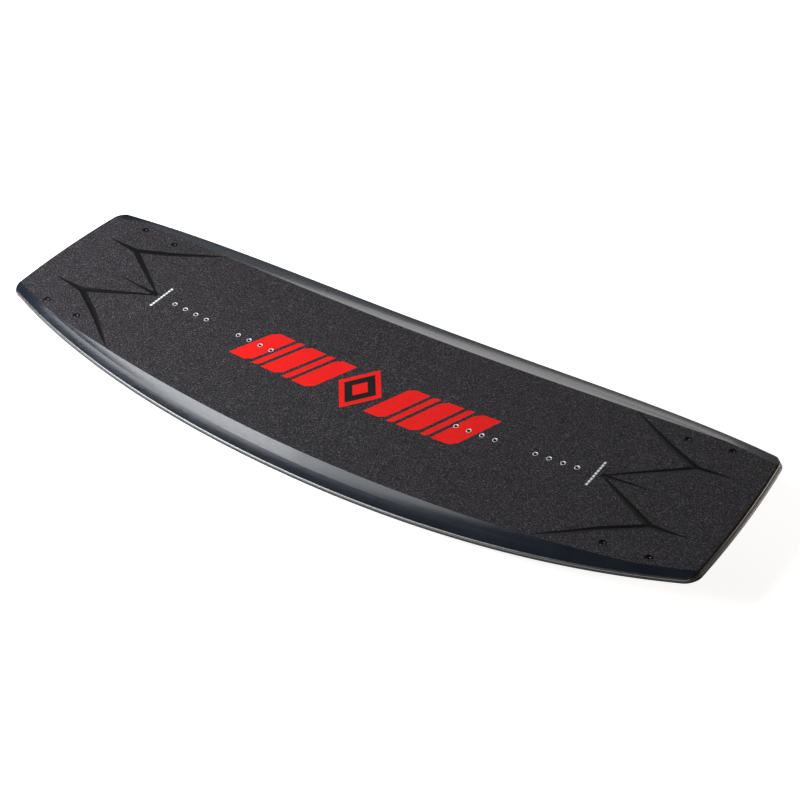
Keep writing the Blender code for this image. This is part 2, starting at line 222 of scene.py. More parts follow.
# The studio, with each softbox as its place, target, size, power in watts and colour
FLOOR_REACH = 30
FLOOR_DROP = 0.5 * MM
FLOOR_GLOW = 0.8
WORLD_COLOUR = (0.92, 0.96, 1.0, 1)
WORLD_STRENGTH = 0.03
COOL_WHITE = (0.95, 0.97, 1)
WARM_WHITE = (1, 0.98, 0.96)
AMBER_WHITE = (1, 0.89, 0.8)
SOFTBOXES = {
    "overhead": ((-1.08, -0.36, 1.2), (-1.08, -0.36, 0), (0.66, 0.76), 16.5, COOL_WHITE),
    "fill": ((-0.5, -0.36, 1.2), (-0.5, -0.36, 0), (0.5, 0.76), 4.6, COOL_WHITE),
    "backdrop": ((-1.2, 2.6, 0.4), (-1.2, 0, 0.4), (4.5, 0.8), 22, WARM_WHITE),
    "backdrop_glow": ((-1.2, 2.6, 1.25), (-1.2, 0, 0.6), (4.5, 0.8), 4, (1, 1, 1)),
    "front": ((-1.95, -2.2, 1.9), (-0.3, -0.2, 0), (1.2, 1.5), 52, (1, 1, 1)),
    "rear": ((1.72, 1.36, 0.27), (0.7, 0.1, 0.07), (0.9, 0.5), 23, AMBER_WHITE),
}


# The board's surfaces: those of the CAD, and the deck skin's, hollowed and grooved


def tip_share(x):
    return (x / HALF_LENGTH) ** 2


def curve_height(x):
    share = tip_share(x)
    return TIP_LIFT * share - TIP_RELAX * share**2


def rocker(x):
    return max(0.0, curve_height(x) - curve_height(FLAT_END))


def rocker_slope(x):
    return 2 * (TIP_LIFT - 2 * TIP_RELAX * tip_share(x)) * x / HALF_LENGTH**2


def thickness(x):
    return TIP_THICKNESS + (CENTRE_THICKNESS - TIP_THICKNESS) * (1 - tip_share(x))


def half_width(x):
    share = tip_share(x)
    return HALF_WIDTH - SIDE_DROP * share - SIDE_TAPER * share**2


def flange_inset(x):
    return FLANGE_INSET - FLANGE_NARROWING * tip_share(x)


def deck_inset(x):
    """Where the flat deck starts: the bevel narrows towards a tip, until only the flange is left."""
    share = tip_share(x)
    bevelled = DECK_INSET - DECK_WIDENING * share - DECK_WIDENING_AT_TIP * share**2
    return max(bevelled, flange_inset(x))


def lip_height(x):
    return LIP_HEIGHT + LIP_RISE * tip_share(x)


def crease_height(x):
    """Height above the base of the crease between the flange and the bevel."""
    return FLANGE_HEIGHT + FLANGE_RISE * tip_share(x)


def top_height(x, inset, hollowed=0):
    """Height above the base, at a distance in from the edge: flange, bevel, then flat deck."""
    edge, crease, deck = lip_height(x), crease_height(x), thickness(x)
    outer, inner = flange_inset(x), deck_inset(x)
    inset = max(inset, 0)
    if inset >= inner:
        return deck
    if outer >= inner:
        low, high, share, depth = edge, deck, inset / inner, FLANGE_HOLLOW
    elif inset < outer:
        low, high, share, depth = edge, crease, inset / outer, FLANGE_HOLLOW
    else:
        low, high, share, depth = crease, deck, (inset - outer) / (inner - outer), BEVEL_HOLLOW
    return low + (high - low) * share * (1 - hollowed * depth * (1 - share))


def deck_z(x, y):
    return rocker(x) + top_height(x, half_width(x) - abs(y))


def skin_z(x, y):
    """Top of the deck skin, its flange and bevel hollowed, before its grooves are pressed."""
    return rocker(x) + top_height(x, half_width(x) - abs(y), hollowed=1)


def skin_underside(x, y):
    return deck_z(x, y) - SKIN


def rail_top(x, y):
    """Where the rails and spacers end, a seam below the deck's rolled edge."""
    return deck_z(x, y) - BEAD_DEPTH - SEAM


def rail_foot(x, y):
    return rocker(x) + BASE_SHEET + SEAM


def base_top(x, y):
    return rocker(x) + BASE_SHEET


def base_bottom(x, y):
    return rocker(x)


def groove_depth(x, y):
    """Depth of the pressed grooves: V shaped, and deeper where a stroke is wider."""
    here = Vector((abs(x), abs(y)))
    depth = 0.0
    for stroke in GROOVE_STROKES:
        for start, end in zip(stroke, stroke[1:]):
            first, last = Vector(start[:2]), Vector(end[:2])
            along = last - first
            share = min(max((here - first).dot(along) / along.length_squared, 0), 1)
            width = start[2] + (end[2] - start[2]) * share
            depth = max(depth, (width - (here - first - along * share).length) * GROOVE_SLOPE)
    return depth


def pressed_deck_z(x, y):
    return skin_z(x, y) - groove_depth(x, y)


# The board's plan


def tip_x(y):
    return HALF_LENGTH - TIP_BULGE * (y / half_width(HALF_LENGTH)) ** 2


def corner_points():
    """The rounded corner, as an arc from the side curve to the tip curve."""
    x, y = HALF_LENGTH, half_width(HALF_LENGTH)
    for _ in range(SOLVER_STEPS):
        x, y = tip_x(y), half_width(x)
    side_slope = (half_width(x) - half_width(x - CORNER_TANGENT)) / CORNER_TANGENT
    tip_slope = (tip_x(y) - tip_x(y - CORNER_TANGENT)) / CORNER_TANGENT
    start_x = x - CORNER_TANGENT * math.cos(math.atan(side_slope))
    end_y = y - CORNER_TANGENT * math.cos(math.atan(tip_slope))
    start = Vector((start_x, half_width(start_x)))
    middle = Vector((x, y))
    end = Vector((tip_x(end_y), end_y))
    pull = math.cos((middle - start).angle(end - middle) / 2)
    points = []
    for i in range(CORNER_STEPS + 1):
        t = i / CORNER_STEPS
        weights = ((1 - t) ** 2, 2 * pull * t * (1 - t), t**2)
        points.append((start * weights[0] + middle * weights[1] + end * weights[2]) / sum(weights))
    return points


def quarter_outline():
    """The plan from the middle of the toe edge round to the middle of the nose."""
    corner = corner_points()
    reach, rise = corner[0].x, corner[-1].y
    side = [reach * i / SIDE_STEPS for i in range(SIDE_STEPS)]
    tip = [rise * (1 - i / TIP_STEPS) for i in range(1, TIP_STEPS + 1)]
    return [Vector((x, half_width(x))) for x in side] + corner + [Vector((tip_x(y), y)) for y in tip]


def whole_outline():
    """The plan all the way round, clockwise from the middle of the toe edge."""
    quarter = quarter_outline()
    half = quarter + [Vector((p.x, -p.y)) for p in reversed(quarter[:-1])]
    return half + [Vector((-p.x, p.y)) for p in reversed(half[1:-1])]


def inward_normals(outline):
    """For each point of a clockwise outline, the level direction square to it and inwards."""
    normals = []
    for i, point in enumerate(outline):
        run = outline[(i + 1) % len(outline)] - outline[i - 1]
        normals.append(Vector((run.y, -run.x)).normalized())
    return normals


CORNER = corner_points()
OUTLINE = whole_outline()
INWARD = inward_normals(OUTLINE)


def tip_facing(inward):
    """How squarely an edge faces the tip: 0 along the sides and 1 at the middle of a tip."""
    return max(0.0, abs(inward.x) - SIDE_TURN) / (1 - SIDE_TURN)


def ring_at(inset):
    return [point + inward * inset for point, inward in zip(OUTLINE, INWARD)]


def eased_ring_at(inset, share):
    """A ring at an inset, drawn in further along the tips by a share of their rounding."""
    return [
        point + inward * (inset + TIP_ROUNDING * share * tip_facing(inward))
        for point, inward in zip(OUTLINE, INWARD)
    ]


def mirrored_each_way(line):
    """A line of plan points with its mirror images in the board's two planes of symmetry."""
    level = all(abs(y) < MERGE_DISTANCE for x, y in line)
    sides = (1,) if level else (1, -1)
    return [[(end * x, side * y) for x, y in line] for end in (1, -1) for side in sides]


# Mesh tools


def new_object(name, shape, materials):
    mesh = bpy.data.meshes.new(name)
    shape.to_mesh(mesh)
    shape.free()
    for material in materials:
        mesh.materials.append(material)
    made = bpy.data.objects.new(name, mesh)
    bpy.context.scene.collection.objects.link(made)
    return made


def new_piece(name, shape, materials, replaced, body="board", sharp_angle=30):
    """Makes a piece in place of a CAD node, smooth but for its creases and sharper turns."""
    bmesh.ops.recalc_face_normals(shape, faces=shape.faces)
    piece = new_object(name, shape, materials)
    mesh = piece.data
    creased = [edge.use_edge_sharp for edge in mesh.edges]
    mesh.shade_smooth()
    mesh.set_sharp_from_angle(angle=math.radians(sharp_angle))
    for edge, marked in zip(mesh.edges, creased):
        edge.use_edge_sharp = edge.use_edge_sharp or marked
    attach(piece, body)
    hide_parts(replaced)


def add_ring(shape, points):
    return [shape.verts.new(point) for point in points]


def bridge(shape, first, second, paint=0):
    """Joins two rings that have the same number of vertices."""
    for i in range(len(first)):
        j = (i + 1) % len(first)
        face = shape.faces.new((first[i], first[j], second[j], second[i]))
        face.material_index = paint


def bridge_all(shape, loops, paint=0):
    for first, second in zip(loops, loops[1:]):
        bridge(shape, first, second, paint)


def fill(shape, borders, height, lines=(), points=(), is_hole=None, paint=None, sharp_lines=0):
    """Triangulates the plan inside rings of made vertices, along lines and through points.

    The first sharp_lines of the lines are creases, which stay sharp in the shading.
    """
    plan, edges, made = [], [], {}
    for border in borders:
        start = len(plan)
        for i, vertex in enumerate(border):
            made[start + i] = vertex
            plan.append(vertex.co.xy)
            edges.append((start + i, start + (i + 1) % len(border)))
    border_edges = len(edges)
    crease_edges = border_edges
    for number, line in enumerate(lines):
        start = len(plan)
        plan.extend(Vector(point) for point in line)
        edges.extend((start + i, start + i + 1) for i in range(len(line) - 1))
        if number < sharp_lines:
            crease_edges = len(edges)
    plan.extend(Vector(point) for point in points)
    corners, found, faces, sources, edge_sources, _ = delaunay_2d_cdt(
        plan, edges, [], 0, MERGE_DISTANCE, True
    )
    vertices = []
    for corner, source in zip(corners, sources):
        known = [made[i] for i in source if i in made]
        vertices.append(known[0] if known else shape.verts.new((*corner, height(*corner))))
    for face in faces:
        middle = sum((corners[i] for i in face), Vector((0, 0))) / len(face)
        if is_hole and is_hole(middle):
            continue
        added = shape.faces.new([vertices[i] for i in face])
        added.material_index = paint(middle) if paint else 0
    for edge, source in zip(found, edge_sources):
        if any(border_edges <= i < crease_edges for i in source):
            crease = shape.edges.get([vertices[i] for i in edge])
            if crease:
                crease.smooth = False
    shape.verts.ensure_lookup_table()
    for vertex in [v for v in shape.verts if not v.link_faces]:
        shape.verts.remove(vertex)


def circle(radius, sides):
    turns = [2 * math.pi * i / sides for i in range(sides)]
    return [(radius * math.cos(a), radius * math.sin(a)) for a in turns]


def hexagon(apothem, sides):
    """Points on a hexagon at even turns, to match a circle with that number of sides."""
    sixth = math.pi / 3
    points = []
    for i in range(sides):
        turn = 2 * math.pi * i / sides
        reach = apothem / math.cos(turn % sixth - sixth / 2)
        points.append((reach * math.cos(turn), reach * math.sin(turn)))
    return points


def stack_rings(shape, place, rings, closed=False):
    """Skins a row of (outline, height) rings set out from a place, capped unless it is closed."""
    loops = [add_ring(shape, [place @ Vector((x, y, z)) for x, y in ring]) for ring, z in rings]
    bridge_all(shape, loops)
    if closed:
        bridge(shape, loops[-1], loops[0])
    else:
        shape.faces.new(loops[0])
        shape.faces.new(loops[-1])


def tilted_place(position, axis):
    """A frame at a position with its Z on the axis and its X along the board."""
    up = Vector(axis).normalized()
    across = Vector((0, 1, 0))
    along = across.cross(up).normalized()
    turn = Matrix((along, up.cross(along), up)).transposed()
    return Matrix.Translation(Vector(position)) @ turn.to_4x4()


# Materials


def add_node(material, kind, settings=(), **values):
    """A shader node with its settings, its input values and any links into it."""
    tree = material.node_tree
    made = tree.nodes.new(kind)
    for key, value in dict(settings).items():
        setattr(made, key, value)
    for key, value in values.items():
        socket = made.inputs[key.replace("_", " ")]
        if isinstance(value, bpy.types.NodeSocket):
            tree.links.new(value, socket)
        else:
            socket.default_value = value
    return made


def new_material(name, colour, roughness, metallic=0.0, specular=0.5):
    made = bpy.data.materials.new(name)
    made.use_nodes = True
    shader = made.node_tree.nodes["Principled BSDF"]
    shader.inputs["Base Color"].default_value = (*colour, 1)
    shader.inputs["Roughness"].default_value = roughness
    shader.inputs["Metallic"].default_value = metallic
    shader.inputs["Specular IOR Level"].default_value = specular
    return made, shader


def place_coordinates(material, stretch=(1, 1, 1)):
    """Object coordinates, which are metres on the board, stretched along each axis."""
    where = add_node(material, "ShaderNodeTexCoord").outputs["Object"]
    return add_node(material, "ShaderNodeMapping", Vector=where, Scale=stretch).outputs["Vector"]


def noise(material, scale, detail=2.0, roughness=0.5, stretch=(1, 1, 1)):
    where = place_coordinates(material, stretch)
    values = {"Vector": where, "Scale": scale, "Detail": detail, "Roughness": roughness}
    return add_node(material, "ShaderNodeTexNoise", **values).outputs["Fac"]


def spread(material, value, source, target):
    """Maps part of a texture's range onto a new range, held at both ends."""
    made = add_node(material, "ShaderNodeMapRange", Value=value)
    made.inputs["From Min"].default_value = source[0]
    made.inputs["From Max"].default_value = source[1]
    made.inputs["To Min"].default_value = target[0]
    made.inputs["To Max"].default_value = target[1]
    return made.outputs["Result"]


def blend_colours(material, share, first, second):
    """Mixes two colours, each of which is a colour or another node's output.

    A Mix node has sockets of one name for each kind of data, so colours go by their numbers.
    """
    made = add_node(material, "ShaderNodeMix", {"data_type": "RGBA"})
    tree = material.node_tree
    tree.links.new(share, made.inputs["Factor"])
    for socket, colour in ((made.inputs[6], first), (made.inputs[7], second)):
        if isinstance(colour, bpy.types.NodeSocket):
            tree.links.new(colour, socket)
        else:
            socket.default_value = (*colour, 1)
    return made.outputs[2]


def dress(material, shader, colour, height, distance, strength, rough=None):
    """Wires a finish's colour, its relief and, where it varies, its roughness."""
    bump = add_node(material, "ShaderNodeBump", Height=height, Strength=strength, Distance=distance)
    links = material.node_tree.links
    links.new(colour, shader.inputs["Base Color"])
    links.new(bump.outputs["Normal"], shader.inputs["Normal"])
    if rough:
        links.new(rough, shader.inputs["Roughness"])


def maths(material, operation, first, second=None):
    """A Math node on one or two values, each of which is another node's output or a number."""
    made = add_node(material, "ShaderNodeMath", {"operation": operation})
    for socket, value in zip(made.inputs, (first, second)):
        if isinstance(value, bpy.types.NodeSocket):
            material.node_tree.links.new(value, socket)
        elif value is not None:
            socket.default_value = value
    return made.outputs["Value"]


def gritty(name, dark, light, roughness=0.78, specular=0.35):
    """Sanded print: fine grains over a mottled ground, rough all over."""
    made, shader = new_material(name, dark, roughness, specular=specular)
    grains = noise(made, scale=420, detail=3.0, roughness=0.7)
    mottle = noise(made, scale=38, detail=3.0, roughness=0.6)
    fine = noise(made, scale=1100, roughness=0.6)
    specks = blend_colours(made, spread(made, grains, (0.5, 0.68), (0, 1)), dark, light)
    worn_share = 0.72
    worn = tuple(worn_share * channel for channel in dark)
    ground = blend_colours(made, spread(made, mottle, (0.35, 0.65), (0, 0.15)), specks, worn)
    rough = spread(made, mottle, (0.3, 0.7), (roughness - 0.03, roughness + 0.06))
    relief = maths(made, "ADD", fine, grains)
    dress(made, shader, ground, relief, distance=0.35 * MM, strength=0.8, rough=rough)
    return made


def satin(name, dark, light, roughness, specular=0.5, metallic=0.0, coat=0.0):
    """Smooth moulded or sprayed finish with a faint flow along the board and fine scuffs."""
    made, shader = new_material(name, dark, roughness, metallic, specular)
    shader.inputs["Coat Weight"].default_value = coat
    shader.inputs["Coat Roughness"].default_value = 0.25
    cloud = noise(made, scale=14, detail=4.0, roughness=0.55)
    flow = noise(made, scale=900, detail=3.0, roughness=0.6, stretch=(0.08, 1, 1))
    colour = blend_colours(made, spread(made, cloud, (0.35, 0.65), (0, 1)), dark, light)
    rough = spread(made, flow, (0.3, 0.7), (roughness - 0.05, roughness + 0.07))
    dress(made, shader, colour, flow, distance=0.02 * MM, strength=0.35, rough=rough)
    return made


def machined_metal(name, dark, light, roughness, metallic=1.0):
    """Turned metal with fine tool marks and a little staining."""
    made, shader = new_material(name, light, roughness, metallic)
    stain = noise(made, scale=260, detail=4.0, roughness=0.6)
    marks = noise(made, scale=1500, stretch=(1, 1, 8))
    colour = blend_colours(made, spread(made, stain, (0.45, 0.75), (0, 1)), light, dark)
    rough = spread(made, stain, (0.3, 0.7), (roughness, roughness + 0.18))
    dress(made, shader, colour, marks, distance=0.03 * MM, strength=0.5, rough=rough)
    return made


def wood_grain(name):
    """Pale paulownia strips glued side by side, with grain along the board."""
    made, shader = new_material(name, (0.62, 0.5, 0.3), 0.7)
    axes = add_node(made, "ShaderNodeSeparateXYZ", Vector=place_coordinates(made))
    strip_width = 22 * MM
    strip = maths(made, "SNAP", axes.outputs["Y"], strip_width)
    tone = add_node(made, "ShaderNodeTexWhiteNoise", {"noise_dimensions": "1D"}, W=strip)
    grain = noise(made, scale=420, detail=5.0, roughness=0.65, stretch=(0.04, 1, 1))
    strips = blend_colours(made, tone.outputs["Value"], (0.66, 0.54, 0.33), (0.5, 0.38, 0.21))
    streaks = spread(made, grain, (0.4, 0.7), (0, 0.6))
    colour = blend_colours(made, streaks, strips, (0.36, 0.25, 0.12))
    dress(made, shader, colour, grain, distance=0.1 * MM, strength=0.5)
    return made


def glass_cloth(name):
    """Woven glass cloth under clear resin."""
    made, shader = new_material(name, (0.5, 0.55, 0.47), 0.3)
    shader.inputs["Coat Weight"].default_value = 0.6
    axes = add_node(made, "ShaderNodeSeparateXYZ", Vector=place_coordinates(made))
    weave_pitch = 2.2 * MM
    threads = []
    for axis in ("X", "Y"):
        wave = maths(made, "MULTIPLY", axes.outputs[axis], 2 * math.pi / weave_pitch)
        threads.append(maths(made, "SINE", wave))
    shade = spread(made, maths(made, "MULTIPLY", *threads), (-1, 1), (0, 1))
    colour = blend_colours(made, shade, (0.42, 0.47, 0.4), (0.62, 0.66, 0.58))
    dress(made, shader, colour, shade, distance=0.1 * MM, strength=0.6)
    return made


def base_finish(name):
    """Sanded base: dark gloss with long fine scratches along the board."""
    made, shader = new_material(name, (0.012, 0.012, 0.013), 0.3)
    scratches = noise(made, scale=1300, detail=3.0, roughness=0.7, stretch=(0.02, 1, 1))
    wear = noise(made, scale=16, detail=4.0, roughness=0.6, stretch=(0.3, 1, 1))
    worn = spread(made, wear, (0.45, 0.7), (0, 1))
    colour = blend_colours(made, worn, (0.010, 0.010, 0.011), (0.022, 0.022, 0.024))
    rough = spread(made, scratches, (0.35, 0.75), (0.22, 0.46))
    dress(made, shader, colour, scratches, distance=0.03 * MM, strength=0.5, rough=rough)
    return made


def make_finishes():
    return {
        "grit": gritty("deck_grit", (0.011, 0.0098, 0.0115), (0.135, 0.122, 0.14)),
        "facet": satin("deck_facet", (0.012, 0.0155, 0.023), (0.017, 0.022, 0.032), 0.15, 0.5),
        "lip": satin("deck_lip", (0.02, 0.021, 0.023), (0.03, 0.031, 0.034), 0.24, 1.0, coat=1.0),
        # The grooves' finish is smooth, and it is painted far darker than the grit as painted shade in
        # the shallow pressed grooves
        "groove_shade": satin("deck_groove_shade", (0.003, 0.003, 0.004), (0.006, 0.006, 0.007), 0.45, 0.15),
        "red": gritty("red_print", (1.0, 0.008, 0.006), (1.0, 0.025, 0.018), 0.7, 0.2),
        "black": gritty("black_print", (0.004, 0.004, 0.004), (0.012, 0.012, 0.012), 0.7, 0.25),
        "white": gritty("white_print", (0.9, 0.9, 0.9), (1.0, 1.0, 1.0), 0.7, 0.3),
        "rail": satin("rail_black", (0.006, 0.006, 0.007), (0.01, 0.01, 0.012), 0.35, 0.25),
        "tip": satin("tip_black", (0.012, 0.0105, 0.0095), (0.018, 0.016, 0.014), 0.26, 0.22),
        "base": base_finish("base_black"),
        "steel": machined_metal("insert_steel", (0.8, 0.79, 0.77), (1.0, 1.0, 0.99), 0.4, 0.2),
        # The bolts' own black oxide, also used as painted shade down the inserts' bores
        "bolt": machined_metal("bolt_black", (0.03, 0.03, 0.032), (0.12, 0.12, 0.125), 0.22),
        "brass": machined_metal("nut_brass", (0.42, 0.28, 0.1), (0.8, 0.6, 0.27), 0.28),
        "sleeve": satin("sleeve_black", (0.006, 0.006, 0.007), (0.01, 0.01, 0.011), 0.4, 0.3),
        "fin": satin("fin_black", (0.012, 0.012, 0.014), (0.022, 0.022, 0.025), 0.28, 0.5),
        "wood": wood_grain("paulownia"),
        "glass": glass_cloth("glass_laminate"),
        "strip": satin("strip_white", (0.55, 0.55, 0.53), (0.68, 0.68, 0.66), 0.5, 0.4),
    }


# Holes in the board


def insert_places():
    """Where each insert stands: its name, and a frame on the deck with Z along its bore."""
    places = {}
    for end, side in ENDS:
        for number, offset in enumerate(INSERT_OFFSETS, start=1):
            x = side * (FOOT_CENTRE + offset)
            slope = rocker_slope(x) - 2 * (CENTRE_THICKNESS - TIP_THICKNESS) * x / HALF_LENGTH**2
            name = f"binding_insert_{end}_{number}"
            places[name] = tilted_place((x, 0, deck_z(x, 0)), (-slope, 0, 1))
    return places


def bolt_places():
    """Where each bolt stands: its joint's frame, and how far up that frame the deck is."""
    places = {}
    for joint in frame["joints"]:
        if not joint["name"].endswith("_bolt_turn"):
            continue
        label = joint["name"].removesuffix("_bolt_turn")
        place = tilted_place(joint["pos_m"], joint["axis"])
        distance = CENTRE_THICKNESS
        for _ in range(SOLVER_STEPS):
            top = place @ Vector((0, 0, distance))
            distance += deck_z(top.x, top.y) - top.z
        places[label] = (place, distance)
    return places


INSERTS = insert_places()
BOLTS = bolt_places()


def deck_holes():
    """Middle and radius of every hole through the deck skin."""
    holes = [(place.translation.xy, INSERT_RADIUS + GAP / 2) for place in INSERTS.values()]
    for place, distance in BOLTS.values():
        holes.append(((place @ Vector((0, 0, distance))).xy, SLEEVE_RADIUS + GAP / 2))
    return holes


def base_holes():
    return [(place.translation.xy, SLEEVE_RADIUS + GAP / 2) for place, _ in BOLTS.values()]


def hole_walls(shape, holes, top, bottom, bevel_top=True):
    """Cuts round walls between two surfaces and returns the rings of their two mouths."""
    top_rings, bottom_rings = [], []
    for middle, radius in holes:
        wide = radius + HOLE_BEVEL
        rows = [(wide, top, 0), (radius, top, -HOLE_BEVEL), (radius, bottom, 0)]
        if not bevel_top:
            rows = [(radius, top, 0), (radius, bottom, HOLE_BEVEL), (wide, bottom, 0)]
        loops = []
        for reach, surface, lift in rows:
            spots = [middle + Vector(point) for point in circle(reach, HOLE_SIDES)]
            loops.append(add_ring(shape, [(*s, surface(*s) + lift) for s in spots]))
        bridge_all(shape, loops)
        top_rings.append(loops[0])
        bottom_rings.append(loops[2])
    return top_rings, bottom_rings


def inside_holes(holes, margin=0.0):
    """A test for whether a spot lies in a hole, or within a margin of it."""
    return lambda spot: any((spot - middle).length < radius + margin for middle, radius in holes)


# The deck skin

DECK_FINISHES = ("grit", "facet", "groove_shade", "red", "black", "white", "lip", "tip")
GRIT, FACET, GROOVE_SHADE, RED, BLACK, WHITE, LIP, TIP = range(len(DECK_FINISHES))


def slanted_bar(start, end, side):
    """A leaning bar whose upper leading and lower trailing corners are cut off."""
    lean = BAR_SLANT * BAR_HALF_HEIGHT
    low, high = -BAR_HALF_HEIGHT, BAR_HALF_HEIGHT
    cut = min(BAR_CUT, BAR_CUT_SHARE * (end - start))
    corners = [
        (start - lean, low),
        (end - lean - cut, low),
        (end - lean + cut * BAR_SLANT, low + cut),
        (end + lean, high),
        (start + lean + cut, high),
        (start + lean - cut * BAR_SLANT, high - cut),
    ]
    return [(side * x, side * y) for x, y in corners]


def diamond(half_length, half_height):
    return [(half_length, 0), (0, half_height), (-half_length, 0), (0, -half_height)]


def stance_dashes(x):
    step = 2 * STANCE_HALF_LENGTH / DASHES
    dashes = []
    for i in range(DASHES):
        middle = -STANCE_HALF_LENGTH + step * (i + 0.5)
        reach = step * DASH_SHARE / 2
        left, right = x - DASH_HALF_WIDTH, x + DASH_HALF_WIDTH
        low, high = middle - reach, middle + reach
        dashes.append([(left, low), (right, low), (right, high), (left, high)])
    return dashes


def printed_shapes():
    """Each printed outline with its colour; a later one lies over an earlier one."""
    shapes = []
    for start, end in BAR_SPANS:
        for side in (1, -1):
            shapes.append((slanted_bar(start, end, side), RED))
    for size, colour in zip(DIAMOND_SIZES, (RED, BLACK, RED)):
        shapes.append((diamond(*size), colour))
    for end in (1, -1):
        shapes.extend((dash, WHITE) for dash in stance_dashes(end * STANCE_LINE))
    return shapes


def is_inside(spot, corners):
    """Whether a spot is inside a convex outline."""
    turns = []
    for start, end in zip(corners, corners[1:] + corners[:1]):
        run = Vector(end) - Vector(start)
        turns.append(run.cross(spot - Vector(start)) > 0)
    return all(turns) or not any(turns)


PRINT = printed_shapes()


def deck_paint(spot):
    """Which finish a spot on the deck has."""
    for corners, colour in reversed(PRINT):
        if is_inside(spot, corners):
            return colour
    if half_width(spot.x) - abs(spot.y) < deck_inset(spot.x):
        return FACET
    # Inside a groove the deck takes the painted shade finish, darker than the grit
    if groove_depth(*spot) > 0:
        return GROOVE_SHADE
    return GRIT


def spaced(line):
    """Adds points along a line of plan points, so that none are further apart than a step."""
    points = [tuple(line[0])]
    for start, end in zip(line, line[1:]):
        first, last = Vector(start), Vector(end)
        count = max(1, math.ceil((last - first).length / LINE_STEP))
        points.extend(tuple(first.lerp(last, i / count)) for i in range(1, count + 1))
    return points


def deck_crease(border):
    """The edge of the flat deck in one quarter, which ends on the border's nearest point."""

    def line_y(x):
        return half_width(x) - deck_inset(x)

    corner = [p for p in border if p.x > SPACER_START and p.y > 0]
    end = min(corner, key=lambda p: abs(p.y - line_y(p.x)))
    count = int((end.x - STATION_STEP / 2) / STATION_STEP)
    return [(i * STATION_STEP, line_y(i * STATION_STEP)) for i in range(count + 1)] + [tuple(end)]


def flange_crease():
    line = []
    x = 0.0
    while deck_inset(x) - flange_inset(x) > MM:
        line.append((x, half_width(x) - flange_inset(x)))
        x += STATION_STEP
    return line


def groove_lines():
    """Both edges and the valley of every stroke of the grooves, in one quarter."""
    lines = []
    for stroke in GROOVE_STROKES:
        level = all(y == 0 for _, y, _ in stroke)
        for side in (1, 0) if level else (1, 0, -1):
            line = []
            for i, (x, y, width) in enumerate(stroke):
                before, after = stroke[max(i - 1, 0)], stroke[min(i + 1, len(stroke) - 1)]
                run = Vector((after[0] - before[0], after[1] - before[1])).normalized()
                line.append((x - side * width * run.y, y + side * width * run.x))
            lines.append([(x, max(y, 0)) for x, y in line])
    return lines


def deck_lines(border):
    """The deck's creases and printed outlines, as lines that its triangles follow."""
    creases = []
    for line in [deck_crease(border), flange_crease()] + [spaced(g) for g in groove_lines()]:
        creases.extend(mirrored_each_way(line))
    printed = [spaced(corners + corners[:1]) for corners, _ in PRINT]
    return creases, printed


def deck_points(lines, rings):
    """Rows of points over the deck, clear of the lines that are already there."""
    taken = [point for line in lines for point in line]
    taken += [vertex.co.xy for ring in rings for vertex in ring]
    tree = KDTree(len(taken))
    for i, point in enumerate(taken):
        tree.insert((*point, 0), i)
    tree.balance()
    points = []
    columns = int(HALF_LENGTH / STATION_STEP)
    for column in range(-columns, columns + 1):
        x = column * STATION_STEP
        width, flange, deck = half_width(x), flange_inset(x), deck_inset(x)
        rows = [width - flange * share for share in QUARTERS]
        rows += [width - flange - (deck - flange) * share for share in QUARTERS]
        count = int((width - deck) / STATION_STEP)
        rows += [(width - deck) * i / count for i in range(1, count)]
        for y in [0.0] + rows + [-row for row in rows]:
            if tree.find((x, y, 0))[2] > CLEAR_OF_LINES and is_well_inside(x, y):
                points.append((x, y))
    return points


def is_well_inside(x, y):
    """Whether a plan point is clear of the rolled edge, so that no sliver forms against it."""
    margin = BEAD_RADIUS + CLEAR_OF_LINES
    spot = Vector((abs(x), abs(y)))
    if spot.y >= half_width(x) - margin or spot.x >= tip_x(y) - margin - TIP_ROUNDING:
        return False
    if spot.x <= SPACER_START:
        return True
    if min((spot - point).length for point in CORNER) <= margin:
        return False
    in_corner = spot.x > CORNER[0].x and spot.y > CORNER[-1].y
    return not in_corner or is_inside(spot, [(0, 0)] + [tuple(point) for point in CORNER])


def edge_rows(rows, surface):
    """Rings of points round the board's edge, each hung from the first one's rest on the surface."""
    rest = [surface(*point) for point in eased_ring_at(*rows[0][:2])]
    rings = []
    for inset, share, drop in rows:
        rings.append([(*point, z - drop) for point, z in zip(eased_ring_at(inset, share), rest)])
    return rings


def rolled_edge():
    """Rows of the deck skin's edge, from its top round the bead and in under it."""
    rows = []
    for i in range(BEAD_STEPS + 1):
        turn = math.pi / 2 * i / BEAD_STEPS
        inset = BEAD_RADIUS * (1 - math.sin(turn))
        rows.append((inset, 1 - TIP_EDGE_SHARE * i / BEAD_STEPS, BEAD_RADIUS * (1 - math.cos(turn))))
    rim = 1 - TIP_EDGE_SHARE
    rows.append((0, rim, BEAD_DEPTH - EDGE_EASE))
    rows.append((EDGE_EASE, rim, BEAD_DEPTH))
    rows.append((BEAD_WIDTH, rim, BEAD_DEPTH))
    return rows


